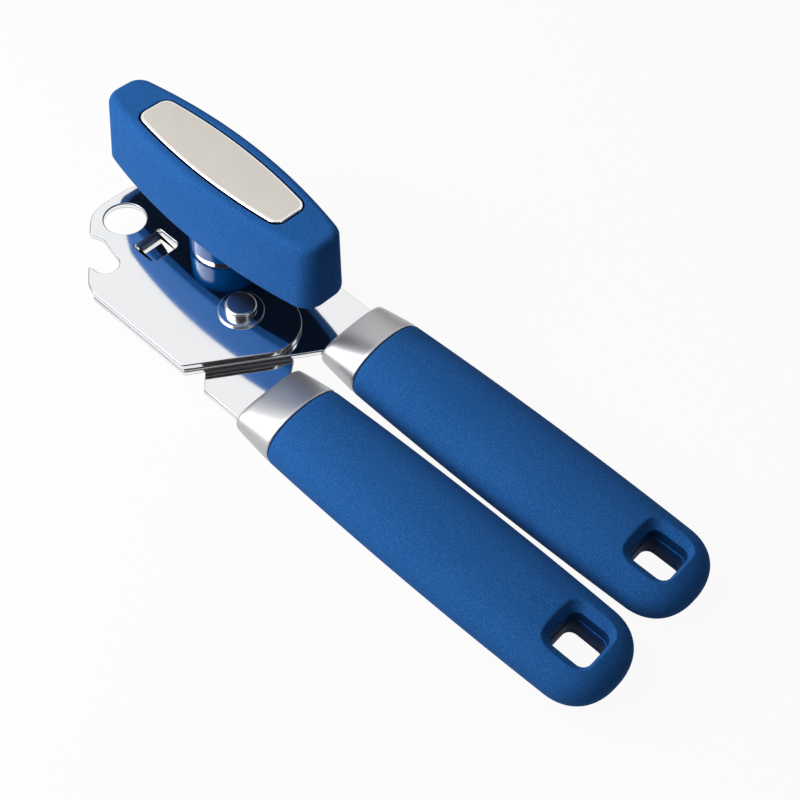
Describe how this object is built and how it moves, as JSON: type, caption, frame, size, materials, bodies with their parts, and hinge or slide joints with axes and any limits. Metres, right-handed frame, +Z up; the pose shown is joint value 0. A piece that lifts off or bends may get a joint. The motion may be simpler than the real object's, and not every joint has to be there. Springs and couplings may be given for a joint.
{
  "type": "manual can opener",
  "caption": "Pliers-type can opener: two soft-grip handles, polished steel head with cutter wheel, toothed feed wheel, bottle notch and a long turning knob.",
  "frame": {"origin": "middle of the footprint, on the table that the handles lie on", "axes": "+X from the head to the handle ends, +Y to the back handle, +Z up towards the knob"},
  "size_m": [0.2163, 0.0632, 0.0469],
  "materials": {
    "polished_steel": "mirror polished",
    "satin_steel": "satin",
    "tool_steel": "ground",
    "soft_blue": "matt, soft to the touch",
    "hub_blue": "satin",
    "core_plastic": "plain",
    "inlay_steel": "brushed"
  },
  "bodies": {
    "front_lever_assembly": {"head_plate": "polished_steel", "front_lever": "polished_steel", "pivot_rivet": "polished_steel", "pivot_washer": "polished_steel", "shaft_bush": "polished_steel", "front_ferrule": "satin_steel", "front_handle_core": "core_plastic", "front_grip": "soft_blue"},
    "back_lever_assembly": {"back_lever": "polished_steel", "cutter_axle": "tool_steel", "back_ferrule": "satin_steel", "back_handle_core": "core_plastic", "back_grip": "soft_blue"},
    "drive": {"drive_shaft": "tool_steel", "feed_wheel": "tool_steel", "feed_wheel_clip": "tool_steel", "thrust_washer": "tool_steel", "knob_washer": "tool_steel", "knob_core": "hub_blue", "knob_shell": "soft_blue", "knob_inlay": "inlay_steel", "knob_screw": "tool_steel"},
    "cutter": {"cutter_wheel": "tool_steel"}
  },
  "joints": [
    {"name": "handle_hinge", "type": "hinge", "parent": "front_lever_assembly", "child": "back_lever_assembly", "pos_m": [-0.04105, -0.0022, 0.0104], "axis": [0, 0, 1], "range_deg": [0, 50]},
    {"name": "knob_turn", "type": "hinge", "parent": "front_lever_assembly", "child": "drive", "pos_m": [-0.06395, 0.0129, 0.0124], "axis": [0, 0, 1], "continuous": true},
    {"name": "cutter_spin", "type": "hinge", "parent": "back_lever_assembly", "child": "cutter", "pos_m": [-0.06395, -0.0031, 0.006], "axis": [0, 0, 1], "continuous": true}
  ]
}
